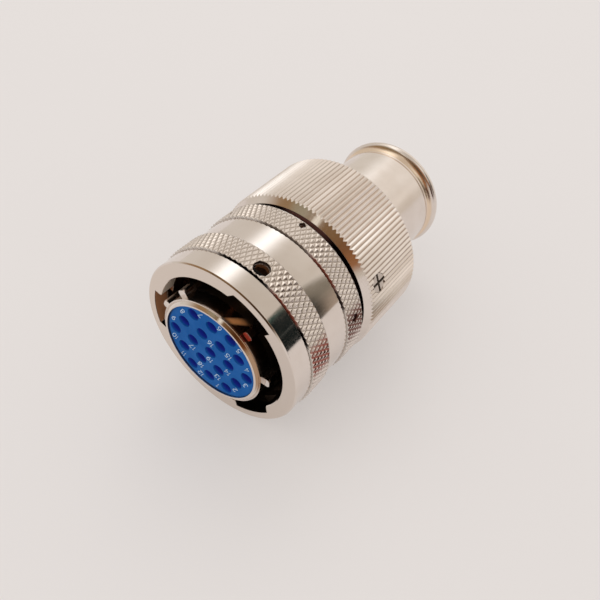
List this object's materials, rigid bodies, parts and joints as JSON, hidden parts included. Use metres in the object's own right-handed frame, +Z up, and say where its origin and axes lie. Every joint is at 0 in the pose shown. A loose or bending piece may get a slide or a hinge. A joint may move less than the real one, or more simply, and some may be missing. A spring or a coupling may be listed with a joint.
{
  "type": "bayonet plug connector",
  "caption": "Cylindrical cable plug with a knurled twist-lock coupling ring, keyed barrel, socket insert and ribbed backshell with a lipped outlet.",
  "frame": {"origin": "on the connector's axis, in the plane of the barrel's front rim", "axes": "+Y along the axis from the mating end to the cable outlet, +Z up as the plug lies in the picture"},
  "size_m": [0.0292, 0.0498, 0.0292],
  "materials": {
    "nickel": "bright nickel plate",
    "blue_insert": "moulded, satin",
    "gold_contact": "gold plate",
    "spring_steel": "plain",
    "seal_rubber": "matt"
  },
  "bodies": {
    "plug": {"plug_shell": "nickel", "front_insert": "blue_insert", "rear_insert": "blue_insert", "contact_01": "gold_contact", "contact_02": "gold_contact", "contact_03": "gold_contact", "contact_04": "gold_contact", "contact_05": "gold_contact", "contact_06": "gold_contact", "contact_07": "gold_contact", "contact_08": "gold_contact", "contact_09": "gold_contact", "contact_10": "gold_contact", "contact_11": "gold_contact", "contact_12": "gold_contact", "contact_13": "gold_contact", "contact_14": "gold_contact", "contact_15": "gold_contact", "contact_16": "gold_contact", "contact_17": "gold_contact", "contact_18": "gold_contact", "contact_19": "gold_contact", "insert_snap_ring": "spring_steel", "barrel_seal": "seal_rubber", "wave_spring": "spring_steel", "backshell_nut": "nickel", "lock_screw_1": "spring_steel", "lock_screw_2": "spring_steel", "outlet_gasket": "seal_rubber", "outlet_tube": "nickel"},
    "float": {"thrust_washer": "spring_steel"},
    "ring": {"coupling_ring": "nickel", "knurl_front": "nickel", "knurl_rear": "nickel", "ring_retainer": "nickel", "retainer_pin_1": "spring_steel", "retainer_pin_2": "spring_steel", "retainer_pin_3": "spring_steel"}
  },
  "joints": [
    {"name": "ring_float", "type": "slide", "parent": "plug", "child": "float", "axis": [0, -1, 0], "range_m": [0, 0.0007], "stiffness_N_per_m": 4000, "springref_m": -0.0005, "deforming": ["wave_spring"]},
    {"name": "ring_turn", "type": "hinge", "parent": "float", "child": "ring", "pos_m": [0, 0.01, 0], "axis": [0, -1, 0], "range_deg": [0, 107]}
  ]
}
